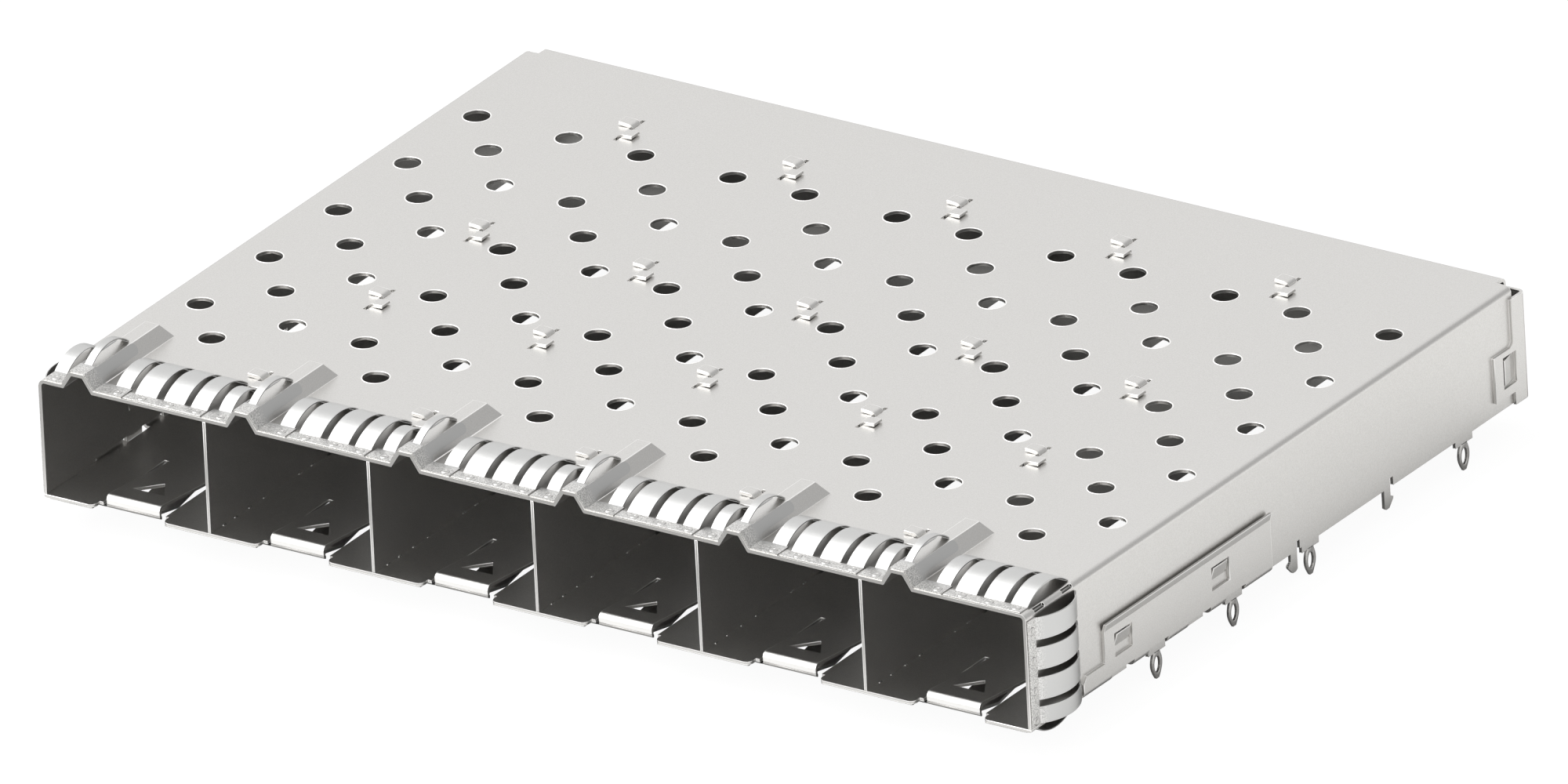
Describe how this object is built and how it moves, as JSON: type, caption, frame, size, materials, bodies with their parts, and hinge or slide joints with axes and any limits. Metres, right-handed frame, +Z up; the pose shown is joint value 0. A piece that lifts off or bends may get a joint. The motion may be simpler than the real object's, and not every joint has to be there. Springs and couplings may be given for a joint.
{
  "type": "ganged transceiver cage",
  "caption": "Row of folded sheet-metal bays for pluggable transceiver modules, with press-fit pins, latch tongues and contact springs around the front.",
  "frame": {"origin": "middle of the row in the plane of the front rim, on the plane of the board that the pin shoulders sit on", "axes": "+X along the row of bays to the right seen from the front, +Y back into the cage, +Z up from the board"},
  "size_m": [0.088, 0.0647, 0.0139],
  "materials": {
    "cage_sheet": "satin, fine rolled grain",
    "spring_strip": "bright rolled strip, slightly mottled at the welds"
  },
  "bodies": {
    "root": {"top_cover": "cage_sheet", "floor_plate": "cage_sheet", "rear_cover": "cage_sheet", "divider_1": "cage_sheet", "divider_2": "cage_sheet", "divider_3": "cage_sheet", "divider_4": "cage_sheet", "divider_5": "cage_sheet", "channel_spring_1": "spring_strip", "channel_spring_2": "spring_strip", "channel_spring_3": "spring_strip", "channel_spring_4": "spring_strip", "channel_spring_5": "spring_strip", "channel_spring_6": "spring_strip", "top_spring_1": "spring_strip", "top_spring_2": "spring_strip", "top_spring_3": "spring_strip", "top_spring_4": "spring_strip", "top_spring_5": "spring_strip", "top_spring_6": "spring_strip", "side_spring_left": "spring_strip", "side_spring_right": "spring_strip", "bottom_spring_1": "spring_strip", "bottom_spring_2": "spring_strip", "bottom_spring_3": "spring_strip", "bottom_spring_4": "spring_strip", "bottom_spring_5": "spring_strip", "bottom_spring_6": "spring_strip", "bottom_spring_7": "spring_strip"}
  },
  "joints": []
}
